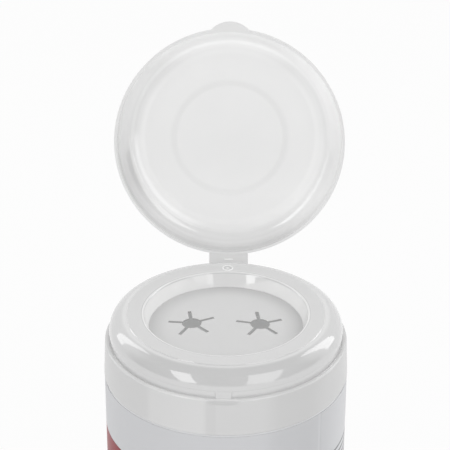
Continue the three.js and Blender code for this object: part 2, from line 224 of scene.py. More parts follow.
class StageSizes(bpy.types.PropertyGroup):
    """Camera and lamps."""

    camera_distance: FloatProperty(name="Camera distance", default=0.7202, unit="LENGTH",
                                   description="From the camera to the point it looks at")
    camera_aim: length(41.2, "Aim height", "Height of the point that the camera looks at, over the flat ring")
    camera_aside: length(-0.45, "Aim aside", "Sideways place of the point that the camera looks at")
    camera_elevation: angle(27.42, "Elevation", "Height of the camera above the horizon")
    camera_turn: angle(1.15, "Turn", "How far the camera stands to the right of the front")
    camera_roll: angle(0.1, "Roll", "Tilt of the camera about its own line of sight")
    focal_pixels: FloatProperty(name="Focal length", default=1757.4,
                                description="Focal length in pixels of a picture 450 pixels wide")
    ambient: share(0.618, "Ambient", "Strength of the even light from all round")


def sizes(group):
    return getattr(bpy.context.scene, group)


# Profiles and grids

def arc(centre_r, centre_z, radius_r, radius_z, start, stop, count):
    """Rows of [radius, height] on an ellipse: centre plus radius times the cosine and sine of the angle."""
    turn = np.linspace(start, stop, count)
    return np.column_stack([centre_r + radius_r * np.cos(turn), centre_z + radius_z * np.sin(turn)])


def rounded(corners, count=5):
    """Rows of [radius, height] from corners (radius, height, rounding). A rounding is the arc that touches both
    sides of its corner: it starts the rounding times the tangent of half the turn away from the corner."""
    rows = [np.array([corners[0][:2]])]
    for before, here, after in zip(corners, corners[1:], corners[2:]):
        point = np.array(here[:2])
        back = np.array(before[:2]) - point
        ahead = np.array(after[:2]) - point
        back, ahead = back / np.linalg.norm(back), ahead / np.linalg.norm(ahead)
        opening = math.acos(np.clip(back @ ahead, -1, 1))
        if here[2] == 0 or opening > math.pi - 0.02:
            rows.append(point[None])
            continue
        middle = back + ahead
        centre = point + middle / np.linalg.norm(middle) * here[2] / math.sin(opening / 2)
        reach = here[2] / math.tan(opening / 2)
        first, last = point + back * reach - centre, point + ahead * reach - centre
        sweep = math.pi - opening
        part = np.linspace(0, sweep, count)[:, None]
        rows.append(centre + (np.sin(sweep - part) * first + np.sin(part) * last) / math.sin(sweep))
    rows.append(np.array([corners[-1][:2]]))
    return np.concatenate(rows)


def supported(rows, near=0.12 * MM, pitch=2.5 * MM):
    """The same outline with points added on its long straight stretches: one close to each end, so that shading
    stays flat there, and others at an even pitch between them."""
    out = [rows[:1]]
    for start, stop in zip(rows, rows[1:]):
        run = np.linalg.norm(stop - start)
        if run < 5 * near:
            out.append(stop[None])
            continue
        count = max(2, int(math.ceil((run - 2 * near) / pitch)) + 1)
        at = np.concatenate([np.linspace(near, run - near, count), [run]]) / run
        out.append(start + (stop - start) * at[:, None])
    return np.concatenate(out)


def all_round(count, *dense):
    """Angles round a full turn at an even pitch, with (middle, half width, count) stretches that are finer."""
    turn = np.linspace(0, TURN, count, endpoint=False)
    for middle, half, fine in dense:
        away = (turn - middle + math.pi) % TURN - math.pi
        turn = turn[np.abs(away) > half]
        turn = np.concatenate([turn, (middle + np.linspace(-half, half, fine)) % TURN])
    return np.unique(np.round(turn, 7))


def turned(rows, turn):
    """Grid of points: radius times the cosine and the sine of the angle, and the height."""
    radius, height = rows[:, 0], rows[:, 1]
    return np.stack([
        np.cos(turn)[:, None] * radius[None],
        np.sin(turn)[:, None] * radius[None],
        np.broadcast_to(height[None], (len(turn), len(rows))),
    ], axis=2)


def grid_faces(columns, rows, closed_rows):
    """Quads between neighbouring points of a grid whose columns close on themselves."""
    number = np.arange(columns * rows).reshape(columns, rows)
    if closed_rows:
        number = np.column_stack([number, number[:, 0]])
    following = np.roll(number, -1, axis=0)
    return np.stack([number[:, :-1], following[:, :-1], following[:, 1:], number[:, 1:]], axis=2).reshape(-1, 4)


def make_piece(name, points, faces, material, sharp=math.radians(42)):
    """A mesh of points and quads, with points that coincide merged and quads that lose a corner made triangles."""
    merged_within = 0.2e-6
    keys = np.round(points / merged_within).astype(np.int64)
    _, first, inverse = np.unique(keys, axis=0, return_index=True, return_inverse=True)
    faces = inverse.reshape(-1)[faces]
    corners = []
    for face in faces.tolist():
        kept = [v for i, v in enumerate(face) if v != face[i - 1]]
        if len(set(kept)) > 2:
            corners.append(kept)
    mesh = bpy.data.meshes.new(name)
    mesh.from_pydata(points[first].tolist(), [], corners)
    mesh.validate()
    mesh.polygons.foreach_set("use_smooth", [True] * len(mesh.polygons))
    mesh.set_sharp_from_angle(angle=sharp)
    piece = bpy.data.objects.new(name, mesh)
    bpy.context.scene.collection.objects.link(piece)
    piece.data.materials.append(material)
    return piece


def revolve(name, rows, turn, material, change=None, closed_rows=False):
    """A turned piece. change moves the grid's points before they become a mesh."""
    grid = turned(rows, turn)
    if change is not None:
        grid = change(grid, turn)
    faces = grid_faces(len(turn), len(rows), closed_rows)
    return make_piece(name, grid.reshape(-1, 3), faces, material)


def opened(points):
    """Points of the shut cap turned about the fold line to the place where it stands open."""
    c, s = math.cos(OPEN_ANGLE), math.sin(OPEN_ANGLE)
    y, z = points[..., 1] - HINGE_Y, points[..., 2] - HINGE_Z
    return np.stack([points[..., 0], y * c + z * s + HINGE_Y, z * c - y * s + HINGE_Z], axis=-1)


# Shader expressions

class Value:
    """A shader socket that can be used in arithmetic: each operator adds one Math node."""

    def __init__(self, shader, socket):
        self.shader = shader
        self.socket = socket

    def _math(self, operation, *others):
        return self.shader.math(operation, self, *others)

    def __add__(self, other):
        return self._math("ADD", other)

    def __sub__(self, other):
        return self._math("SUBTRACT", other)

    def __mul__(self, other):
        return self._math("MULTIPLY", other)

    def __truediv__(self, other):
        return self._math("DIVIDE", other)

    def __radd__(self, other):
        return self.shader.math("ADD", other, self)

    def __rsub__(self, other):
        return self.shader.math("SUBTRACT", other, self)

    def __rmul__(self, other):
        return self.shader.math("MULTIPLY", other, self)


class Shader:
    """One material's node tree, with a Principled surface, or the tree of the world."""

    def __init__(self, name):
        self.material = bpy.data.materials.new(name)
        self.material.use_nodes = True
        self.tree = self.material.node_tree
        self.surface = self.tree.nodes["Principled BSDF"]

    @classmethod
    def on_tree(cls, tree):
        shader = cls.__new__(cls)
        shader.tree = tree
        return shader

    def node(self, kind, settings=None, output=0, **inputs):
        """Adds a node, sets its settings, then gives each named socket a value or a link."""
        made = self.tree.nodes.new(kind)
        for key, value in (settings or {}).items():
            setattr(made, key, value)
        for key, value in inputs.items():
            number = key.lstrip("_")
            name = int(number) if number.isdigit() else key.replace("_", " ")
            self.feed(made.inputs[name], value)
        return Value(self, made.outputs[output])

    def feed(self, socket, value):
        if isinstance(value, Value):
            self.tree.links.new(value.socket, socket)
        elif isinstance(socket.default_value, float) or not hasattr(socket.default_value, "__len__"):
            socket.default_value = value
        elif len(socket.default_value) == 4 and len(value) == 3:
            socket.default_value = (*value, 1.0)
        else:
            socket.default_value = value

    def math(self, operation, *values):
        return self.node("ShaderNodeMath", {"operation": operation}, **{f"_{i}": v for i, v in enumerate(values)})

    def blend(self, factor, first, second):
        """First colour where the factor is 0, second where it is 1, and beyond it in proportion."""
        return self.node("ShaderNodeMix", {"data_type": "RGBA", "clamp_factor": False}, 2, _0=factor, _6=first,
                         _7=second)

    def place(self):
        """The three parts of the place on the object, in metres."""
        point = self.node("ShaderNodeTexCoord", None, "Object")
        parts = self.node("ShaderNodeSeparateXYZ", None, 0, Vector=point)
        outputs = parts.socket.node.outputs
        return point, [Value(self, outputs[i]) for i in range(3)]

    def edge(self, value, start, stop):
        """0 below start, 1 above stop and a smooth rise between them."""
        return self.node("ShaderNodeMapRange", {"interpolation_type": "SMOOTHSTEP"}, 0,
                         Value=value, From_Min=start, From_Max=stop)

    def fall(self, value, start, stop):
        """1 below start, 0 above stop and a smooth fall between them."""
        return 1.0 - self.edge(value, start, stop)

    def band(self, value, start, full, last, stop):
        """0 below start, a smooth rise to 1 from full to last, and a smooth fall to 0 at stop."""
        return self.edge(value, start, full) * self.fall(value, last, stop)

    def distance(self, x, y):
        """Root of the sum of the squares."""
        return self.math("SQRT", x * x + y * y)

    def noise(self, point, scale, detail=3.0, roughness=0.55):
        return self.node("ShaderNodeTexNoise", None, 0, Vector=point, Scale=scale, Detail=detail,
                         Roughness=roughness)

    def bump(self, height, distance, strength=1.0):
        return self.node("ShaderNodeBump", None, 0, Height=height, Distance=distance, Strength=strength)

    def finish(self, **inputs):
        for key, value in inputs.items():
            self.feed(self.surface.inputs[key.replace("_", " ")], value)
        return self.material


def moulded_plastic(name, base, gloss_roughness, satin_roughness, through, masks):
    """White injection-moulded plastic: faint clouds in the colour, a fine grain where the tool is textured, and a
    slow ripple under a clear skin in the glossy parts. From the place on the object, masks gives how far it is
    textured, how far the colour is darkened by painted shade and how strongly a painted glow shows, which stands
    in for light through the plastic and for painted highlights."""
    shader = Shader(name)
    point, place = shader.place()
    clouds = shader.noise(point, 55.0, 2.0)
    fine = shader.noise(point, 2600.0, 2.0)
    ripple = shader.noise(point, 160.0, 1.0)
    satin, dark, light = masks(shader, *place)
    shade = 0.985 + clouds * 0.03
    # Painted shade: the dark mask darkens the colour.
    tint = shader.blend(shade * (1.0 - dark), BLACK, base)
    rough = gloss_roughness + satin * (satin_roughness - gloss_roughness) + (clouds - 0.5) * 0.04
    relief = fine * (0.1 + satin * 0.9) * 0.05 + ripple * 0.02
    # The emission is a painted glow, for light through the plastic and for painted highlights.
    return shader.finish(Base_Color=tint, Roughness=rough, Normal=shader.bump(relief, 0.0001, 0.4),
                         Coat_Weight=1.0 - satin, Coat_Roughness=0.02, Coat_IOR=1.85, IOR=1.45,
                         Specular_IOR_Level=0.35, Emission_Color=shader.blend(shade * light, BLACK, through),
                         Emission_Strength=1.0)


def closure_material():
    """Closure plastic: the flat ring and the dish's floor are satin, the dish's wall, the dome and the small edges
    shine, and the skirt lies between. A painted glow lies on the dish's thin wall, brighter towards its sides, for
    light through the wall and for lamp highlights; painted highlights lie on the dish's mouth and the flat ring's
    crest, and fainter painted light on the ring and the floor. Painted light lifts the shade in the groove, on the
    ledge and on the band, lights the walls of the slits to an even grey and brightens the skirt's left. Painted
    shade darkens the floor's edge towards the back, the walls of the slits, the skirt's right and a narrow strip
    left of its front; the inside of the gate's ring is darker."""
    s = sizes("closure_sizes")
    soft = 0.3 * MM
    top = ring_top(s)
    floor_top = top - s.dish_depth
    ledge = top - s.ledge_drop
    groove_outside = s.band + s.groove_width
    skirt_inside = s.band + s.overhang + soft

    def masks(shader, x, y, z):
        """How satin, how dark and how lit the plastic is at a place."""
        def between(value, low, high, fade=soft):
            """1 from low to high, with a smooth fade outside each."""
            return shader.band(value, low - fade, low, high, high + fade)

        radius = shader.distance(x, y)
        on_floor = shader.fall(radius, s.floor - soft, s.floor + soft)
        on_ring = between(radius, s.dish + s.dish_lip + soft, s.flat_ring - 2 * soft)
        on_skirt = shader.edge(radius, skirt_inside, skirt_inside + soft)
        on_wall = between(radius, s.floor + soft, s.dish - soft)
        far_left = on_wall * shader.edge(0.0 - x, 8 * MM, 10 * MM)
        satin = on_floor + on_ring + on_skirt * 0.7 + far_left * 0.6

        above = shader.edge(z, floor_top - s.floor_thickness / 2, floor_top)
        aside = shader.edge(shader.math("ABSOLUTE", x), 0.3 * s.floor, 0.85 * s.floor)
        # Painted highlights on the dish's mouth and on the flat ring's crest.
        mouth_highlight = between(radius, s.dish + 0.3 * soft, s.dish + s.dish_lip - soft, 0.15 * MM)
        crest_highlight = shader.band(radius, s.flat_ring - 2 * soft, s.flat_ring - soft, s.flat_ring + 0.6 * MM,
                               s.flat_ring + 2.2 * MM)
        # Painted light that lifts the shade in the groove and on the ledge.
        on_groove = between(radius, s.band, groove_outside) * between(
            z, ledge - 2 * s.groove_depth, ledge, 0.5 * MM)
        on_ledge = shader.edge(radius, groove_outside, groove_outside + soft) * between(
            z, ledge - 0.6 * s.skirt_corner, ledge + soft)
        # The walls of the slits get painted shade and a painted glow, which paint them an even grey.
        depth = floor_top + s.crown - (radius / s.floor) * (radius / s.floor) * s.crown - z
        in_slit = between(depth, 2 * soft / 3, s.floor_thickness - soft / 2, 0.1 * MM) * shader.fall(
            radius, s.floor - 4 * MM, s.floor - 3 * MM)
        # Painted highlight on the left of the skirt.
        skirt_left_highlight = on_skirt * between(x, -29 * MM, -9 * MM, 3 * MM)
        # Painted glow for light through the thin plastic and lamp highlights, with painted highlights and fill
        # light.
        through = (on_wall * (1.2 + aside * 0.5) + mouth_highlight * 1.2 + crest_highlight * 0.6 + on_ring * 0.45
                   + on_floor * 0.25)
        light = above * through + on_groove * 0.55 + on_ledge * 0.5 + in_slit * 1.6 + skirt_left_highlight * 0.25

        # Painted shade at the floor's back edge and painted light on the band; the gate's inside is darker.
        floor_edge = on_floor * between(radius, s.floor - 0.5 * MM, s.floor, 9 * MM) * shader.edge(
            y, -22 * MM, 0.0)
        on_band = between(radius, s.band - 0.1 * MM, s.band + 0.1 * MM, 0.1 * MM) * between(
            z, ledge + soft, ledge + s.band_height - soft)
        off_gate = shader.distance(x, y - (s.flat_ring + s.dish) / 2)
        in_gate = above * shader.fall(off_gate, s.gate_radius - s.gate_width,
                                      s.gate_radius - 0.5 * s.gate_width)
        skirt_right = between(x, 24 * MM, 34 * MM, 9 * MM)
        skirt_strip = between(x, -6.5 * MM, -3.5 * MM, MM)
        skirt_shade = skirt_right * 0.06 + skirt_strip * 0.03
        dark = in_slit * 0.85 + floor_edge * 0.12 + in_gate * 0.14 - on_band * 0.05 + on_skirt * skirt_shade
        return satin, dark, light

    colours = sizes("tub_colours")
    return moulded_plastic("closure_plastic", colours.closure, 0.30, 0.40, colours.closure_glow, masks)


def cap_material():
    """Cap plastic: glossy but for its panel and rim. A painted glow stands in for light through the thin panel and
    wall and paints light where the lamps fall: more on the panel's and rim's lower part, on the wall's right, top
    and left, at its foot and crest, with painted highlights round the panel's edge. Painted shade darkens the
    slope round the disc, a crease on the left and the inner lip. The masks follow the place on the shut cap: the
    open one turned back about the fold line."""
    s = sizes("cap_sizes")
    cosine, sine = math.cos(OPEN_ANGLE), math.sin(OPEN_ANGLE)

    def masks(shader, x, y, z):
        """How satin, how dark and how lit the plastic is at a place."""
        def ring(middle, *steps):
            """A ring that rises and falls at four distances, in millimetres, from a radius."""
            return shader.band(radius, *(middle + step * MM for step in steps))

        shut_y = (y - HINGE_Y) * cosine - (z - HINGE_Z) * sine + HINGE_Y
        radius = shader.distance(x, shut_y)
        on_panel = shader.fall(radius, s.panel, s.panel + 3 * MM)
        on_rim = shader.edge(radius, s.inside, s.inside + 0.3 * MM)
        off_rim = 1.0 - on_rim
        on_wall = off_rim - on_panel
        lower = shader.edge(shut_y, 0.0, 0.9 * s.panel)
        lowest = shader.edge(shut_y, 0.3 * s.panel, s.panel)
        upper = shader.fall(shut_y, -0.9 * s.panel, 0.3 * s.panel)
        near_half = shader.edge(shut_y, -5 * MM, 5 * MM)
        right = shader.edge(x, 0.4 * s.panel, s.panel)
        left = shader.edge(0.0 - x, 0.4 * s.panel, s.panel) * shader.fall(shut_y, 0.0, 0.5 * s.panel)
        low_left = lower * shader.edge(0.0 - x, 0.3 * s.panel, 0.8 * s.panel)
        # Painted light on the wall's crest and foot, and painted highlights round the panel's edge.
        crest = off_rim * shader.edge(radius, 0.86 * s.panel, s.panel) * shader.fall(
            shut_y, -s.panel, -0.7 * s.panel)
        foot = lowest * shader.fall(radius, s.panel + 3.5 * MM, s.inside - 0.3 * MM) * (1.0 - on_panel)
        at_edge = ring(s.panel, -2.2, -0.6, 1.3, 1.8)
        before_edge = ring(s.panel, -5.5, -4, -1.8, -0.2) * shader.edge(shut_y, -0.8 * s.panel, -0.4 * s.panel)
        edge_left = at_edge * shader.edge(0.0 - x, 0.2 * s.panel, 0.5 * s.panel) * near_half
        # Painted glow: light through the thin cap, brighter where the lamps fall, most on the wall's right.
        light = (on_panel * (1.0 + lower * 0.65) + crest * 1.2 + foot * 1.2 + on_rim * (0.4 + lower * 0.5)
                 + on_wall * (upper * 0.8 + right * (1.8 + upper * 0.3) + left * 0.75 + low_left * 0.5)
                 + at_edge * (0.35 - lower * 0.1) + before_edge * (0.4 - lower * 0.25) + edge_left * 0.8)

        # Painted shade round the disc, in a crease on the left and on the inner lip.
        crease = ring(s.panel, 0, 1.2, 1.8, 3) * shader.edge(0.0 - x, 0.4 * s.panel, 0.7 * s.panel) * (
            1.0 - near_half)
        inner_lip = shader.edge(radius, s.inside - 0.5 * MM, s.inside - 0.1 * MM) * off_rim
        low_lip = shader.edge(radius, s.inside - 2 * MM, s.inside - 0.3 * MM) * off_rim * lowest
        dark = ring(s.disc, -1.8, -0.3, 0.3, 2.7) * 0.05 + crease * 0.03 + inner_lip * 0.10 + low_lip * 0.04

        dull = shader.fall(radius, s.panel - 4 * MM, s.panel - 0.5 * MM)
        return 0.1 + dull * 0.9 + on_rim * 0.8 + right * (1.0 - dull) * 0.5, dark, light

    colours = sizes("tub_colours")
    return moulded_plastic("cap_plastic", colours.cap, 0.30, 0.42, colours.cap_glow, masks)


def plain_masks(satin, light):
    """Masks that are the same all over a piece."""
    return lambda shader, x, y, z: (satin, 0.0, light)


def tub_material():
    """Blow-moulded plastic: satin, with a faint lengthwise flow. A painted glow stands in for light through the thin
    wall on the inner side, and outside, painted light lifts the shade along the seam between the label and the
    closure, more at the sides."""
    s = sizes("body_sizes")
    colours = sizes("tub_colours")
    shader = Shader("tub_plastic")
    point, (x, y, z) = shader.place()
    radius = shader.distance(x, y)
    stretched = shader.node("ShaderNodeMapping", None, 0, Vector=point, Scale=(1.0, 1.0, 0.12))
    flow = shader.noise(stretched, 420.0, 3.0)
    clouds = shader.noise(point, 40.0, 2.0)
    tint = shader.blend(0.98 + clouds * 0.04, BLACK, colours.tub)
    bore = s.tub_neck - s.tub_wall + shader.edge(s.shoulder - s.tub_wall - z, -1 * MM, 0.0) * (
        TUB_HIGH.x - s.tub_neck)
    inner = shader.fall(radius, bore + 0.3 * MM, bore + 0.6 * MM)
    low = shader.edge(z, s.base_thickness + 0.5 * MM, s.base_thickness + 1.5 * MM)
    # Painted light that lifts the shade along the seam under the closure.
    seam = shader.band(z, LABEL_HIGH.z - 0.4 * MM, LABEL_HIGH.z, s.shoulder, s.shoulder + MM)
    aside = shader.edge(shader.math("ABSOLUTE", x), 25 * MM, 48 * MM)
    glow = shader.blend(inner * low + seam * (1.0 - inner) * (0.75 + aside * 0.3), BLACK, colours.through_glow)
    return shader.finish(Base_Color=tint, Roughness=0.36 + flow * 0.12, Emission_Color=glow,
                         Emission_Strength=1.0, Normal=shader.bump(flow, 0.00006, 0.35), IOR=1.49)


def label_material():
    """Label film: white ground, a field of muted red with a darker top border, that starts a fixed way under the
    label's top edge, and a column of thin grey rules beside it. The pattern follows the angle round the tub, in
    degrees, and the height. The film is painted a little lighter at both sides, as painted light, and greyer on
    the right of the front, as painted shade; it is also a little paler along its lapped end."""
    s = sizes("body_sizes")
    colours = sizes("tub_colours")
    shader = Shader("label_film")
    point, (x, y, z) = shader.place()
    round_tub = shader.math("ARCTAN2", y, x) * (1 / math.radians(1))
    seam = math.degrees(s.label_seam)
    field_foot, field_top = 22 * MM, s.shoulder - 23.5 * MM
    fine = 0.05 * MM
    field = (shader.edge(field_top - z, 0.0, fine) * shader.edge(z - field_foot, 0.0, fine)
             * shader.band(round_tub, -179.0, -178.9, -66.1, -66.0))
    border = field * shader.fall(field_top - z, 0.55 * MM, 0.75 * MM)
    red = shader.blend(border * 0.6, colours.label_red, colours.label_border)
    ground = shader.blend(field, colours.label, red)

    pitch = 3.2 * MM
    rules_foot, rules_top = 30 * MM, field_top - 2.0 * MM
    line = shader.math("FRACT", (rules_top - z) / pitch)
    rules = (shader.band(line, 0.0, 0.08, 0.34, 0.42)
             * shader.band(round_tub, seam + 11.0, seam + 11.2, 38.0, 38.2)
             * shader.edge(z, rules_foot, rules_foot + fine) * shader.edge(rules_top - z, 0.0, 0.4 * fine))
    tint = shader.blend(rules * 0.9, ground, colours.label_rule)

    clouds = shader.noise(point, 30.0, 2.0)
    # Painted light at both sides and painted shade on the right of the front.
    on_left = shader.fall(x, -45 * MM, 0.0)
    on_right = shader.band(x, 15 * MM, 24 * MM, 34 * MM, 43 * MM)
    far_right = shader.edge(x, 40 * MM, 51 * MM)
    on_lap = shader.band(round_tub, seam - 2.0, seam - 1.6, seam - 0.6, seam - 0.2)
    shade = 0.985 + clouds * 0.03 + on_left * 0.04 - on_right * 0.06 + far_right * 0.12 + on_lap * 0.05
    grain = shader.noise(point, 1500.0, 2.0)
    ripple = shader.noise(point, 90.0, 1.0)
    relief = grain * 0.15 + ripple * 0.5 + (field + rules) * 0.1
    return shader.finish(Base_Color=shader.blend(shade, BLACK, tint), Roughness=0.34 + grain * 0.06 - field * 0.04,
                         Normal=shader.bump(relief, 0.0001, 0.35), IOR=1.48, Specular_IOR_Level=0.12)


def wipes_material():
    """Damp nonwoven cloth: a felt of short fibres over a soft quilted emboss."""
    colours = sizes("tub_colours")
    shader = Shader("wipes_cloth")
    point = shader.node("ShaderNodeTexCoord", None, "Object")
    fibres = shader.noise(point, 1400.0, 5.0, 0.7)
    emboss = shader.node("ShaderNodeTexVoronoi", {"feature": "SMOOTH_F1"}, 0, Vector=point, Scale=420.0)
    tint = shader.blend(0.88 + fibres * 0.16, BLACK, colours.wipes)
    return shader.finish(Base_Color=tint, Roughness=0.62 + fibres * 0.2,
                         Normal=shader.bump(fibres * 0.6 + emboss * 0.4, 0.0002, 0.6))


# Shapes

def crown_height(s, radius, edge):
    """Height of the crowned floor: its edge height plus the crown times one less the square of the share out."""
    return edge + s.crown * (1 - (radius / s.floor) ** 2)


def ring_top(s):
    return CLOSURE_HIGH.z - s.gate_proud


def closure_rows(s):
    """Section of the closure from the middle of the floor's underside, round the plug and skirt, to the middle of
    the floor's top."""
    top = ring_top(s)
    floor = top - s.dish_depth
    floor_under = floor - s.floor_thickness
    ring_under = top - s.wall
    ledge = top - s.ledge_drop
    ledge_under = ledge - s.ledge_thickness
    band_top = ledge + s.band_height
    plug_inside = s.plug - s.plug_wall
    plug_foot = ledge_under - s.plug_length
    out = np.linspace(0, s.floor, 14)
    under = np.column_stack([out, crown_height(s, out, floor_under)])
    back = rounded([
        (s.floor, floor_under, 0),
        (s.floor + s.wall, floor_under + s.wall / 2, 0.6 * MM),
        (s.dish + s.wall, ring_under, 0.5 * MM),
        (s.flat_ring - s.wall, ring_under, 0),
    ])
    vault = arc(s.flat_ring - s.wall, band_top, plug_inside - s.flat_ring + s.wall, ring_under - band_top,
                math.pi / 2, 0, 10)
    skirt = rounded([
        (plug_inside, band_top, 0),
        (plug_inside, plug_foot, 0.4 * MM),
        (s.plug, plug_foot, 0.5 * MM),
        (s.plug, ledge_under, 0.2 * MM),
        (s.skirt_inside, ledge_under, 0.2 * MM),
        (s.skirt_inside, CLOSURE_LOW.z, 0.2 * MM),
        (CLOSURE_HIGH.x, CLOSURE_LOW.z, 0.35 * MM),
        (s.skirt_top, ledge, s.skirt_corner),
        (s.band + s.groove_width, ledge, 0.12 * MM),
        (s.band + s.groove_width / 2, ledge - s.groove_depth, 0.1 * MM),
        (s.band, ledge - s.groove_depth, 0.1 * MM),
        (s.band, band_top, 0.1 * MM),
        (s.band + s.overhang, band_top, 0.12 * MM),
        (s.band + s.overhang, band_top + 0.3 * MM, 0),
    ], 7)
    dome = arc(s.flat_ring, band_top + 0.3 * MM, s.band + s.overhang - s.flat_ring, s.dome_height - 0.3 * MM,
               0, math.pi / 2 - 0.03, 34)
    dish = rounded([
        (s.flat_ring, top - s.flat_step, 0),
        (s.flat_ring - 0.15 * MM, top - s.flat_step, 0.05 * MM),
        (s.flat_ring - 0.4 * MM, top, 0.3 * MM),
        (s.dish, top, s.dish_lip),
        (s.floor + 0.1 * MM, floor, s.dish_fillet),
        (s.floor - 2 * MM, crown_height(s, s.floor - 2 * MM, floor), 0),
    ], 8)
    inward = np.linspace(s.floor - 3 * MM, 0, 26)
    upper = np.column_stack([inward, crown_height(s, inward, floor)])
    return np.concatenate([
        under, supported(back)[1:], vault[1:], supported(skirt, pitch=1.2 * MM)[1:], dome[1:],
        supported(dish)[1:], upper,
    ])


def scoop(s):
    """Moves the points of the skirt's top edge that lie inside the thumb relief's ellipsoid, inwards and down
    along a slanting line, to where that line leaves the ellipsoid."""
    centre = np.array([0, -s.skirt_top, ring_top(s) - s.ledge_drop - s.skirt_corner / 2])
    half = np.array([s.relief_width / 2, s.relief_depth, s.relief_height])
    inward = np.array([0, 1, -1]) / math.sqrt(2)

    def change(grid, turn):
        """With places in half sizes from the ellipsoid's middle, the way out is the root of a quadratic: the root
        of b squared less a times c, less b, over a."""
        p = (grid - centre) / half
        d = inward / half
        a, b, c = d @ d, p @ d, (p * p).sum(axis=2) - 1
        outer = grid[..., 2] < centre[2] + s.relief_height
        inside = (c < 0) & outer & (np.hypot(grid[..., 0], grid[..., 1]) > s.band - 0.5 * MM)
        inside &= np.arange(grid.shape[1])[None] > skin_start(grid)
        root = np.sqrt(np.maximum(b * b - a * c, 0))
        go = np.where(inside, (root - b) / a, 0)
        return grid + go[..., None] * inward

    return change


def skin_start(grid):
    """Number of the first row of the section's outer side: the row of the greatest radius."""
    return int(np.argmax(np.hypot(grid[0, :, 0], grid[0, :, 1])))


def star_outline(s, centre_x, grow):
    """Points of one star: for each arm the two corners of its square end, then the hub's arc to the next arm.
    Every size is grown by the same amount."""
    arms, arc_points = 5, 9
    half, hub, reach = s.star_slit / 2 + grow, s.star_hub + grow, s.star_reach + grow
    mouth = math.asin(half / hub)
    pitch = TURN / arms
    points = []
    for i in range(arms):
        turn = s.star_turn + i * pitch
        along = np.array([math.cos(turn), math.sin(turn)])
        side = np.array([-along[1], along[0]])
        points.append(reach * along - half * side)
        points.append(reach * along + half * side)
        hub_turn = np.linspace(turn + mouth, turn + pitch - mouth, arc_points)
        points.extend(hub * np.column_stack([np.cos(hub_turn), np.sin(hub_turn)]))
    return np.array(points) + [centre_x, 0]


def star_cutter(s, centre_x):
    """Prism through the dish's floor in the outline of a star, which widens at the floor's crowned top so that it
    leaves a chamfer."""
    floor = ring_top(s) - s.dish_depth
    rings = []
    for grow, rise in ((0, None), (0, -s.star_chamfer), (2 * s.star_chamfer, s.star_chamfer),
                       (2 * s.star_chamfer, 4 * MM)):
        outline = star_outline(s, centre_x, grow)
        if rise is None:
            height = np.full(len(outline), floor - 4 * s.floor_thickness)
        else:
            height = crown_height(s, np.hypot(outline[:, 0], outline[:, 1]), floor) + rise
        rings.append(np.column_stack([outline, height]))
    count = len(rings[0])
    ring = np.arange(count)
    following = np.roll(ring, -1)
    faces = []
    for level in range(len(rings) - 1):
        low, high = level * count, (level + 1) * count
        faces += np.column_stack([low + ring, low + following, high + following, high + ring]).tolist()
    faces.append(ring[::-1].tolist())
    faces.append(((len(rings) - 1) * count + ring).tolist())
    mesh = bpy.data.meshes.new("star_cutter")
    mesh.from_pydata(np.concatenate(rings).tolist(), [], faces)
    cutter = bpy.data.objects.new("star_cutter", mesh)
    bpy.context.scene.collection.objects.link(cutter)
    return cutter


def cut(piece, cutters):
    """Takes the cutters out of the piece, keeps the finished mesh and removes the cutters."""
    for cutter in cutters:
        step = piece.modifiers.new("cut", "BOOLEAN")
        step.operation = "DIFFERENCE"
        step.solver = "EXACT"
        step.object = cutter
    bpy.context.view_layer.update()
    graph = bpy.context.evaluated_depsgraph_get()
    mesh = bpy.data.meshes.new_from_object(piece.evaluated_get(graph), depsgraph=graph)
    piece.modifiers.clear()
    piece.data = mesh
    for cutter in cutters:
        bpy.data.objects.remove(cutter)
    mesh.polygons.foreach_set("use_smooth", [True] * len(mesh.polygons))
    mesh.set_sharp_from_angle(angle=math.radians(30))


def rounded_block(name, centre, half, power, material, change=None):
    """A block with rounded edges: a superellipsoid, whose axes are its half sizes times the cosine and sine of two
    angles, each raised to a small power with its sign kept."""
    def bent(value):
        """The value raised to the power, with its sign kept."""
        return np.sign(value) * np.abs(value) ** power

    across = np.linspace(0, TURN, 48, endpoint=False)
    up = np.linspace(-math.pi / 2, math.pi / 2, 33)
    around_x, around_y, rise = bent(np.cos(across)), bent(np.sin(across)), bent(np.sin(up))
    ring = bent(np.cos(up))
    ring[[0, -1]] = 0
    grid = np.stack([
        around_x[:, None] * ring[None] * half[0] + centre[0],
        around_y[:, None] * ring[None] * half[1] + centre[1],
        np.broadcast_to(rise[None] * half[2] + centre[2], (len(across), len(up))),
    ], axis=2)
    if change is not None:
        grid = change(grid)
    return make_piece(name, grid.reshape(-1, 3), grid_faces(*grid.shape[:2], False), material)


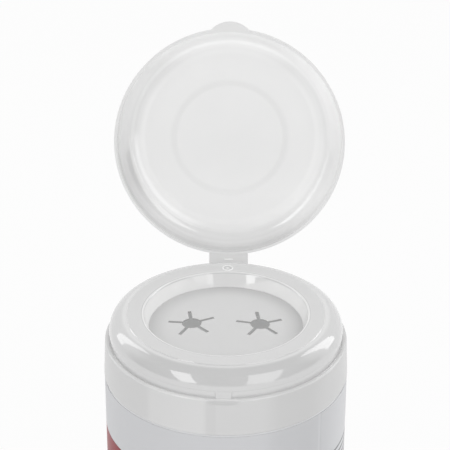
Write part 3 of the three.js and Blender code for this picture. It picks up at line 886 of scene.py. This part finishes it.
def cap_rows(s, top):
    """Section of the shut cap: the inner face from the axis to the rim, then the outer face back."""
    ledge = top - sizes("closure_sizes").ledge_drop
    foot = ledge + s.rim_gap
    under = top + s.top_gap
    curve = foot + s.straight
    rim = s.inside + s.rim_width
    outer = rim - s.rim_proud
    crest = under + s.panel_thickness
    bead = foot + s.bead_above
    panel_in = rounded([
        (0, under + s.disc_step, 0),
        (s.disc - s.disc_slope, under + s.disc_step, 2 * MM),
        (s.disc + s.disc_slope, under, 2 * MM),
        (s.panel, under, 0),
    ], 6)
    wall_in = arc(s.panel, curve, s.inside - s.panel, under - curve, math.pi / 2, 0, 30)
    rim_rows = rounded([
        (s.inside, curve, 0),
        (s.inside, bead + 0.45 * MM, 0.1 * MM),
        (s.inside - s.bead, bead, 0.15 * MM),
        (s.inside, bead - 0.45 * MM, 0.1 * MM),
        (s.inside, foot, 0.25 * MM),
        (rim, foot, 0.3 * MM),
        (rim, foot + s.rim_height, 0.3 * MM),
        (outer, foot + s.rim_height + 0.02 * MM, 0.15 * MM),
        (outer, curve, 0),
    ], 6)
    wall_out = arc(s.panel, curve, outer - s.panel, crest - curve, 0, math.pi / 2, 30)
    panel_out = rounded([
        (s.panel, crest, 0),
        (s.disc + s.disc_slope, crest, 2 * MM),
        (s.disc - s.disc_slope, crest + s.disc_step, 2 * MM),
        (0, crest + s.disc_step, 0),
    ], 6)
    return np.concatenate([
        supported(panel_in), wall_in[1:], rim_rows[1:], wall_out[1:], supported(panel_out)[1:],
    ])


def tabbed(s, foot):
    """Draws the rim out into the thumb tab. Seen from above, the tab's edge is a circle whose centre lies inside
    the rim: at an angle away from the front it is the centre's distance times the cosine, plus the root of the
    radius squared less the distance times the sine squared. A smooth greater-of joins it to the rim."""
    rim = s.inside + s.rim_width
    reach = rim + s.tab_proud - s.tab_radius
    blend = 0.3 * MM

    def change(grid, turn):
        """Stretches the low rows outside the rim's inner edge by the share that they lie out."""
        away = (turn - FRONT + math.pi) % TURN - math.pi
        side = reach * np.sin(away)
        beyond = np.where(np.abs(away) < math.pi / 6, s.tab_radius ** 2 - side ** 2, -1)
        edge = np.where(beyond > 0, reach * np.cos(away) + np.sqrt(np.maximum(beyond, 0)), rim - 4 * MM)
        edge = (edge + rim + np.sqrt((edge - rim) ** 2 + blend ** 2)) / 2
        draw = np.maximum(edge - rim - blend / 2 * (np.abs(away) > math.pi / 8), 0)
        radius = np.hypot(grid[..., 0], grid[..., 1])
        low = grid[..., 2] < foot + s.rim_height + 0.01 * MM
        share_out = np.clip((radius - (rim - 0.4 * MM)) / (0.3 * MM), 0, 1) * low
        stretch = 1 + share_out * draw[:, None] / np.maximum(radius, MM)
        return np.concatenate([grid[..., :2] * stretch[..., None], grid[..., 2:]], axis=2)

    return change


def strap_path(s, top):
    """Points (y, z) of the strap's middle line at rest, from the skirt to the cap's rim, with a tight bend at the
    fold, and the thickness at each point."""
    c = sizes("closure_sizes")
    ledge = top - c.ledge_drop
    gap = 0.15 * MM
    half = s.strap_thickness / 2
    root = np.array([c.skirt_top - 0.6 * MM, ledge - c.skirt_corner - 2 * gap - half])
    fold_low = np.array([HINGE_Y - gap, HINGE_Z - gap - half])
    shut_rim = np.array([0, s.inside + s.rim_width - 0.6 * MM, ledge + s.rim_gap + gap + half])
    shut_fold = np.array([0, HINGE_Y - gap, HINGE_Z + gap + half])
    rim, fold_high = opened(np.stack([shut_rim, shut_fold]))[:, 1:]
    low_way = (fold_low - root) / np.linalg.norm(fold_low - root)
    high_way = (rim - fold_high) / np.linalg.norm(rim - fold_high)
    along = np.linalg.solve(np.column_stack([low_way, -high_way]), fold_high - fold_low)
    corner = fold_low + low_way * along[0]
    path = rounded([(*root, 0), (*corner, 0.9 * MM), (*rim, 0)], 13)
    path = supported(path, near=0.3 * MM, pitch=0.6 * MM)
    near = np.exp(-(np.linalg.norm(path - corner, axis=1) / (0.9 * MM)) ** 2)
    thick = s.strap_thickness + (s.fold_thickness - s.strap_thickness) * near
    return path, thick


def make_strap_piece(s, path, thick, material):
    """Sweeps a rounded section along the path. Each point of the section lies to one side by its share of the
    strap's width, less the rounding of its corners, and off the path, along its normal, by its share of the
    thickness there. The first and the last ring are drawn together on the path to close the ends."""
    half, corner, inner = 0.5, 0.12, 0.3
    way = np.gradient(path, axis=0)
    way /= np.linalg.norm(way, axis=1)[:, None]
    normal = np.column_stack([-way[:, 1], way[:, 0]])
    section = rounded([
        (0, -half, 0), (half, -half, corner), (half, half, corner), (-half, half, corner), (-half, -half, corner),
        (-0.001, -half, 0),
    ], 4) * [-1, 1]
    aside, off = section[:, 0], section[:, 1, None]
    wide = np.where(np.abs(aside) > inner, np.sign(aside) * half, aside)
    trim = (np.abs(aside) - np.abs(wide)) * s.strap_thickness
    x = wide * s.strap_width + np.sign(wide) * trim
    grid = np.stack([
        np.broadcast_to(x[:, None], (len(section), len(path))),
        path[None, :, 0] + off * (thick * normal[:, 0])[None],
        path[None, :, 1] + off * (thick * normal[:, 1])[None],
    ], axis=2)
    start, stop = [np.broadcast_to([0.0, *path[i]], (len(section), 1, 3)) for i in (0, -1)]
    grid = np.concatenate([start, grid, stop], axis=1)
    return make_piece("hinge_strap", grid.reshape(-1, 3), grid_faces(*grid.shape[:2], False), material)


# Operators

class TUB_OT_make_tub(bpy.types.Operator):
    """Builds the blow-moulded tub"""

    bl_idname = "wipes_tub.make_tub"
    bl_label = "Make tub"

    def execute(self, context):
        s = context.scene.body_sizes
        outside = TUB_HIGH.x
        inside = outside - s.tub_wall
        neck_inside = s.tub_neck - s.tub_wall
        bead = s.shoulder + s.bead_above
        half_groove = s.groove_width / 2
        rows = rounded([
            (0, 0, 0),
            (s.groove - half_groove, 0, 0.8 * MM),
            (s.groove, s.groove_depth, 0.8 * MM),
            (s.groove + half_groove, 0, 0.8 * MM),
            (outside, 0, s.base_corner),
            (outside, s.shoulder, s.shoulder_round),
            (s.tub_neck, s.shoulder, 0.4 * MM),
            (s.tub_neck, bead - s.bead_half, 0.3 * MM),
            (s.tub_neck + s.bead_proud, bead, 0.5 * MM),
            (s.tub_neck, bead + s.bead_half, 0.3 * MM),
            (s.tub_neck, TUB_HIGH.z, 0.4 * MM),
            (neck_inside, TUB_HIGH.z, 0.4 * MM),
            (neck_inside, s.shoulder - s.tub_wall, 0.8 * MM),
            (inside, s.shoulder - 2 * s.tub_wall, 1.0 * MM),
            (inside, s.base_thickness, s.base_corner - s.tub_wall),
            (0, s.base_thickness, 0),
        ], 9)
        tub = revolve("tub_shell", supported(rows, pitch=6 * MM), all_round(256), tub_material())
        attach(tub, "tub_body")
        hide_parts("tub")
        return {"FINISHED"}


class TUB_OT_make_label(bpy.types.Operator):
    """Wraps the label round the tub, with its end lapped over its start"""

    bl_idname = "wipes_tub.make_label"
    bl_label = "Make label"

    def execute(self, context):
        s = context.scene.body_sizes
        outer = LABEL_HIGH.x - s.label_lap
        inner = LABEL_HIGH.x - s.label_thickness
        lap_width, fade_width, step_width = np.radians([9, 5, 0.12])
        rows = supported(rounded([
            (inner, (LABEL_LOW.z + LABEL_HIGH.z) / 2, 0),
            (inner, LABEL_LOW.z, 0.05 * MM),
            (outer, LABEL_LOW.z, 0.08 * MM),
            (outer, LABEL_HIGH.z, 0.08 * MM),
            (inner, LABEL_HIGH.z, 0.05 * MM),
            (inner, (LABEL_LOW.z + LABEL_HIGH.z) / 2, 0),
        ], 4), near=0.05 * MM, pitch=8 * MM)[:-1]

        def lapped(grid, turn):
            """Lifts the outer face past the seam by the lap: a step up within its width, then level, then a fall
            in proportion to the angle left of the lapped stretch."""
            past = (turn - s.label_seam) % TURN
            cliff = np.clip(past / step_width, 0, 1)
            fade = np.clip((lap_width - past) / fade_width, 0, 1)
            rise = s.label_lap * cliff * np.where(past < lap_width, fade, 0)
            radius = np.hypot(grid[..., 0], grid[..., 1])
            lifted = np.where(radius > (inner + outer) / 2, rise[:, None], 0)
            return np.concatenate([grid[..., :2] * (1 + lifted / radius)[..., None], grid[..., 2:]], axis=2)

        turn = all_round(256, (s.label_seam % TURN, math.radians(0.3), 9))
        label = revolve("label_wrap", rows, turn, label_material(), lapped, closed_rows=True)
        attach(label, "tub_body")
        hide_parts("label")
        return {"FINISHED"}


class TUB_OT_make_roll(bpy.types.Operator):
    """Winds the roll of wipes inside the tub"""

    bl_idname = "wipes_tub.make_roll"
    bl_label = "Make roll of wipes"

    def execute(self, context):
        s = context.scene.body_sizes
        outside = ROLL_HIGH.x
        pitch = (outside - s.roll_core) / s.roll_turns
        out = np.linspace(s.roll_core, outside, 6 * s.roll_turns + 1)
        wall = np.linspace(ROLL_LOW.z + 1.2 * MM, ROLL_HIGH.z - 1.2 * MM, 12)
        rows = np.concatenate([
            np.column_stack([out, np.full(len(out), ROLL_LOW.z)]),
            np.column_stack([np.full(len(wall), outside), wall]),
            np.column_stack([out[::-1], np.full(len(out), ROLL_HIGH.z)]),
            np.column_stack([np.full(len(wall), s.roll_core), wall[::-1]]),
        ])

        def wound(grid, turn):
            """Both ends dip between the turns: the depth times one less the sine's size, of half the angle round
            added to the share of a turn out. The radius swells a little from turn to turn."""
            radius = np.hypot(grid[..., 0], grid[..., 1])
            phase = np.abs(np.sin(math.pi * (radius - s.roll_core) / pitch - turn[:, None] / 2))
            dip = s.roll_ridge * (1 - phase) ** 1.5 + 0.5 * MM * (1 + np.sin(3 * turn[:, None] + 90 * radius))
            z = grid[..., 2]
            up = np.where(z > ROLL_HIGH.z - 0.1 * MM, -dip, np.where(z < ROLL_LOW.z + 0.1 * MM, dip * 0.3, 0))
            swell = 1 - 0.006 * (1 + np.sin(2 * turn[:, None] + 40 * z)) / 2
            return np.stack([grid[..., 0] * swell, grid[..., 1] * swell, z + up], axis=2)

        roll = revolve("roll_of_wipes", rows, all_round(200), wipes_material(), wound, closed_rows=True)
        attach(roll, "tub_body")
        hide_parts("wipes_roll")
        return {"FINISHED"}


class TUB_OT_make_closure(bpy.types.Operator):
    """Builds the closure with its stars, thumb relief, latch lug and gate mark"""

    bl_idname = "wipes_tub.make_closure"
    bl_label = "Make closure"

    def execute(self, context):
        s = context.scene.closure_sizes
        plastic = closure_material()
        top = ring_top(s)
        ledge = top - s.ledge_drop
        turn = all_round(256, (FRONT % TURN, math.radians(10), 90))
        shell = revolve("closure_shell", closure_rows(s), turn, plastic, scoop(s))
        cut(shell, [star_cutter(s, side * s.star_spacing / 2) for side in (-1, 1)])

        def sloped(grid):
            """Leans the lug's face back towards its top."""
            rise = np.clip((grid[..., 2] - ledge) / s.lug_height, 0, 1)
            lean = np.where(grid[..., 1] < -s.band, rise ** 3 * s.lug_proud * 0.6, 0)
            return grid + np.stack([0 * lean, lean, 0 * lean], axis=2)

        def behind(grid, turn):
            """Moves the gate mark back to the middle of the flat ring's width."""
            return grid + [0, (s.flat_ring + s.dish) / 2, 0]

        lug = rounded_block("latch_lug", (0, -s.band + 0.5 * MM, ledge + s.lug_height / 2 - 0.1 * MM),
                            (s.lug_width / 2, s.lug_proud + 0.5 * MM, s.lug_height / 2 + 0.1 * MM), 0.22,
                            plastic, sloped)
        sunk = 0.2 * MM
        middle = s.gate_radius - s.gate_width / 2
        ring_rows = arc(middle, top - sunk / 2, s.gate_width / 2, s.gate_proud + sunk / 2, 0, TURN, 17)[:-1]
        colours = context.scene.tub_colours
        # Painted highlight: the gate's ring and dot glow with painted light.
        smooth = moulded_plastic("gate_plastic", colours.gate, 0.12, 0.4, colours.closure_glow,
                                 plain_masks(0.0, 1.6))
        gate = revolve("gate_ring", ring_rows, all_round(64), smooth, behind, True)
        dot_rows = arc(0, top - sunk / 2, s.gate_dot, s.gate_proud + sunk / 2, -math.pi / 2, math.pi / 2, 13)
        dot_rows[[0, -1], 0] = 0
        dot = revolve("gate_dot", dot_rows, all_round(32), smooth, behind)
        for piece in (shell, lug, gate, dot):
            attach(piece, "closure_body")
        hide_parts("closure")
        return {"FINISHED"}


class TUB_OT_make_cap(bpy.types.Operator):
    """Builds the flip cap, standing open"""

    bl_idname = "wipes_tub.make_cap"
    bl_label = "Make flip cap"

    def execute(self, context):
        s = context.scene.cap_sizes
        c = context.scene.closure_sizes
        top = ring_top(c)
        foot = top - c.ledge_drop + s.rim_gap
        draw_tab = tabbed(s, foot)
        turn = all_round(288, (FRONT % TURN, math.radians(16), 120))
        shell = revolve("cap_shell", cap_rows(s, top), turn, cap_material(),
                        lambda grid, turn: opened(draw_tab(grid, turn)))
        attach(shell, "cap_body")
        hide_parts("flip_cap")
        return {"FINISHED"}


class TUB_OT_make_strap(bpy.types.Operator):
    """Builds the hinge strap, bent as it stands with the cap open, and the small rib on it"""

    bl_idname = "wipes_tub.make_strap"
    bl_label = "Make hinge strap"

    def execute(self, context):
        s = context.scene.cap_sizes
        top = ring_top(context.scene.closure_sizes)
        colours = context.scene.tub_colours
        # A painted glow, for light through the strap.
        plastic = moulded_plastic("strap_plastic", colours.cap, 0.25, 0.4, colours.strap_glow,
                                  plain_masks(0.3, 1.0))
        path, thick = strap_path(s, top)
        strap = make_strap_piece(s, path, thick, plastic)
        rib_shut = np.array([0, HINGE_Y - s.rib_above, HINGE_Z + 0.15 * MM])
        # Painted highlight: the rib glows with painted light.
        smooth = moulded_plastic("rib_plastic", colours.gate, 0.12, 0.4, colours.closure_glow,
                                 plain_masks(0.0, 1.8))
        rib = rounded_block("strap_rib", rib_shut, (s.rib_width / 2, s.rib_size / 2, s.rib_size * 0.7), 0.5,
                            smooth, opened)
        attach(rib, "cap_body")
        HINGE_Y - 0.4 * MM
        HINGE_Z - 0.6 * MM
        HINGE_Y + 0.8 * MM
        HINGE_Z + 0.6 * MM
        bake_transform(strap)
        return {"FINISHED"}


class TUB_OT_make_stage(bpy.types.Operator):
    """Sets the floor, the lamps and the camera"""

    bl_idname = "wipes_tub.make_stage"
    bl_label = "Make stage"

    def execute(self, context):
        self.make_floor(context)
        self.make_world(context)
        self.make_lamps(context)
        self.make_camera(context)
        context.scene.view_settings.view_transform = "Standard"
        return {"FINISHED"}

    def make_floor(self, context):
        """White paper that is lit less for what it lights than for what looks at it directly."""
        shader = Shader("floor_paper")
        point = shader.node("ShaderNodeTexCoord", None, "Object")
        mottle = shader.noise(point, 6.0, 2.0)
        tint = shader.blend(0.99 + mottle * 0.02, BLACK, context.scene.tub_colours.floor)
        shader.finish(Base_Color=tint, Roughness=0.9)
        seen = shader.node("ShaderNodeLightPath", None, "Is Camera Ray").socket.node.outputs
        camera, glossy, through = [Value(shader, seen[f"Is {kind} Ray"]) for kind in RAYS]
        direct = shader.math("MAXIMUM", shader.math("MAXIMUM", camera, glossy), through)
        white = shader.node("ShaderNodeEmission", None, 0, Color=(0.99, 0.99, 0.99), Strength=1.0)
        mixed = shader.node("ShaderNodeMixShader", None, 0, _0=0.5 + direct * 0.45,
                            _1=Value(shader, shader.surface.outputs[0]), _2=white)
        shader.feed(shader.tree.nodes["Material Output"].inputs["Surface"], mixed)
        half = 6.0
        corners = [(-half, -half, 0), (half, -half, 0), (half, half, 0), (-half, half, 0)]
        mesh = bpy.data.meshes.new("floor")
        mesh.from_pydata(corners, [], [(0, 1, 2, 3)])
        floor = bpy.data.objects.new("floor", mesh)
        context.scene.collection.objects.link(floor)
        floor.data.materials.append(shader.material)

    def make_world(self, context):
        """White behind the tub for everything that looks at it directly, dark in front and overhead for what the
        gloss mirrors, and a soft light from above for the rest."""
        world = bpy.data.worlds.new("studio")
        context.scene.world = world
        world.use_nodes = True
        sky = Shader.on_tree(world.node_tree)
        way = sky.node("ShaderNodeTexCoord", None, "Generated")
        parts = sky.node("ShaderNodeSeparateXYZ", None, 0, Vector=way)
        y, z = [Value(sky, parts.socket.node.outputs[i]) for i in (1, 2)]
        seen = sky.node("ShaderNodeLightPath", None, "Is Camera Ray").socket.node.outputs
        camera, glossy, through = [Value(sky, seen[f"Is {kind} Ray"]) for kind in RAYS]
        ambient = context.scene.stage_sizes.ambient
        backdrop = sky.edge(y, -0.1, 0.35) * sky.fall(z, 0.6, 0.85)
        mirrored = 0.12 + backdrop * 0.86
        soft = ambient * 0.33 + sky.edge(z, 0.0, 1.0) * ambient
        direct = sky.math("MAXIMUM", camera, through)
        strength = direct * 0.985 + (1.0 - direct) * (glossy * mirrored + (1.0 - glossy) * soft)
        background = world.node_tree.nodes["Background"].inputs
        sky.feed(background["Color"], (1.0, 1.0, 1.0))
        sky.feed(background["Strength"], strength)

    def make_lamps(self, context):
        """Puts rectangular lamps on a sphere round the middle of the closure's top, facing it. Azimuth is measured
        to the right of the front, and tilt turns a lamp about its own line."""
        lamp_distance = 1.2
        aim = Vector((0, 0, ring_top(context.scene.closure_sizes)))
        for name, azimuth, elevation, tilt, width, height, watts in (
            ("left_softbox", -40, 26.5, 21, 0.36, 1.13, 3.0),
            ("right_softbox", 39, 27.5, -17, 0.62, 1.29, 3.6),
            ("left_rim", -128, 29.5, 24, 0.28, 1.0, 1.45),
            ("right_rim", 124, 30, -17, 0.36, 1.0, 2.1),
        ):
            light = bpy.data.lights.new(name, "AREA")
            light.shape = "RECTANGLE"
            light.size, light.size_y = width, height
            light.energy = watts
            lamp = bpy.data.objects.new(name, light)
            context.scene.collection.objects.link(lamp)
            a, e = math.radians(azimuth), math.radians(elevation)
            way = Vector((math.sin(a) * math.cos(e), -math.cos(a) * math.cos(e), math.sin(e)))
            facing = (-way).to_track_quat("-Z", "Y").to_matrix() @ Matrix.Rotation(math.radians(tilt), 3, "Z")
            lamp.location = aim + way * lamp_distance
            lamp.rotation_euler = facing.to_euler()

    def make_camera(self, context):
        """Sets the camera back from the point it looks at, along the direction of its turn and elevation, and rolls
        its right and up directions about that line."""
        s = context.scene.stage_sizes
        turn, rise, roll = s.camera_turn, s.camera_elevation, s.camera_roll
        right = Vector((math.cos(turn), math.sin(turn), 0))
        ahead = Vector((-math.sin(turn), math.cos(turn), 0))
        back = -ahead * math.cos(rise) + Vector((0, 0, math.sin(rise)))
        up = ahead * math.sin(rise) + Vector((0, 0, math.cos(rise)))
        tilted_right = right * math.cos(roll) + up * math.sin(roll)
        tilted_up = up * math.cos(roll) - right * math.sin(roll)
        aim = Vector((0, 0, ring_top(context.scene.closure_sizes) + s.camera_aim)) + right * s.camera_aside
        place = aim + back * s.camera_distance
        data = bpy.data.cameras.new("camera")
        data.sensor_width = 36.0
        data.lens = data.sensor_width * s.focal_pixels / PICTURE_WIDTH
        data.clip_start, data.clip_end = 0.05, 40.0
        camera = bpy.data.objects.new("camera", data)
        context.scene.collection.objects.link(camera)
        facing = Matrix((tilted_right, tilted_up, back)).transposed()
        camera.matrix_world = Matrix.Translation(place) @ facing.to_4x4()
        context.scene.camera = camera


STEPS = (TUB_OT_make_stage, TUB_OT_make_tub, TUB_OT_make_label, TUB_OT_make_roll, TUB_OT_make_closure,
         TUB_OT_make_cap, TUB_OT_make_strap)
GROUPS = {"closure_sizes": ClosureSizes, "cap_sizes": CapSizes, "body_sizes": BodySizes,
          "tub_colours": TubColours, "stage_sizes": StageSizes}


class TUB_PT_panel(bpy.types.Panel):
    """Lists the sizes, the colours and the steps"""

    bl_idname = "TUB_PT_panel"
    bl_label = "Wipes tub"
    bl_space_type = "VIEW_3D"
    bl_region_type = "UI"
    bl_category = "Wipes tub"

    def draw(self, context):
        for step in STEPS:
            self.layout.operator(step.bl_idname)
        for group in GROUPS:
            box = self.layout.box()
            values = getattr(context.scene, group)
            for name in values.__annotations__:
                box.prop(values, name)


def register():
    for cls in (*GROUPS.values(), *STEPS, TUB_PT_panel):
        bpy.utils.register_class(cls)
    for name, cls in GROUPS.items():
        setattr(bpy.types.Scene, name, PointerProperty(type=cls))


def unregister():
    for name in GROUPS:
        delattr(bpy.types.Scene, name)
    for cls in reversed((*GROUPS.values(), *STEPS, TUB_PT_panel)):
        bpy.utils.unregister_class(cls)


def main():
    register()
    for step in STEPS:
        group, name = step.bl_idname.split(".")
        getattr(getattr(bpy.ops, group), name)()


if __name__ == "__main__":
    main()
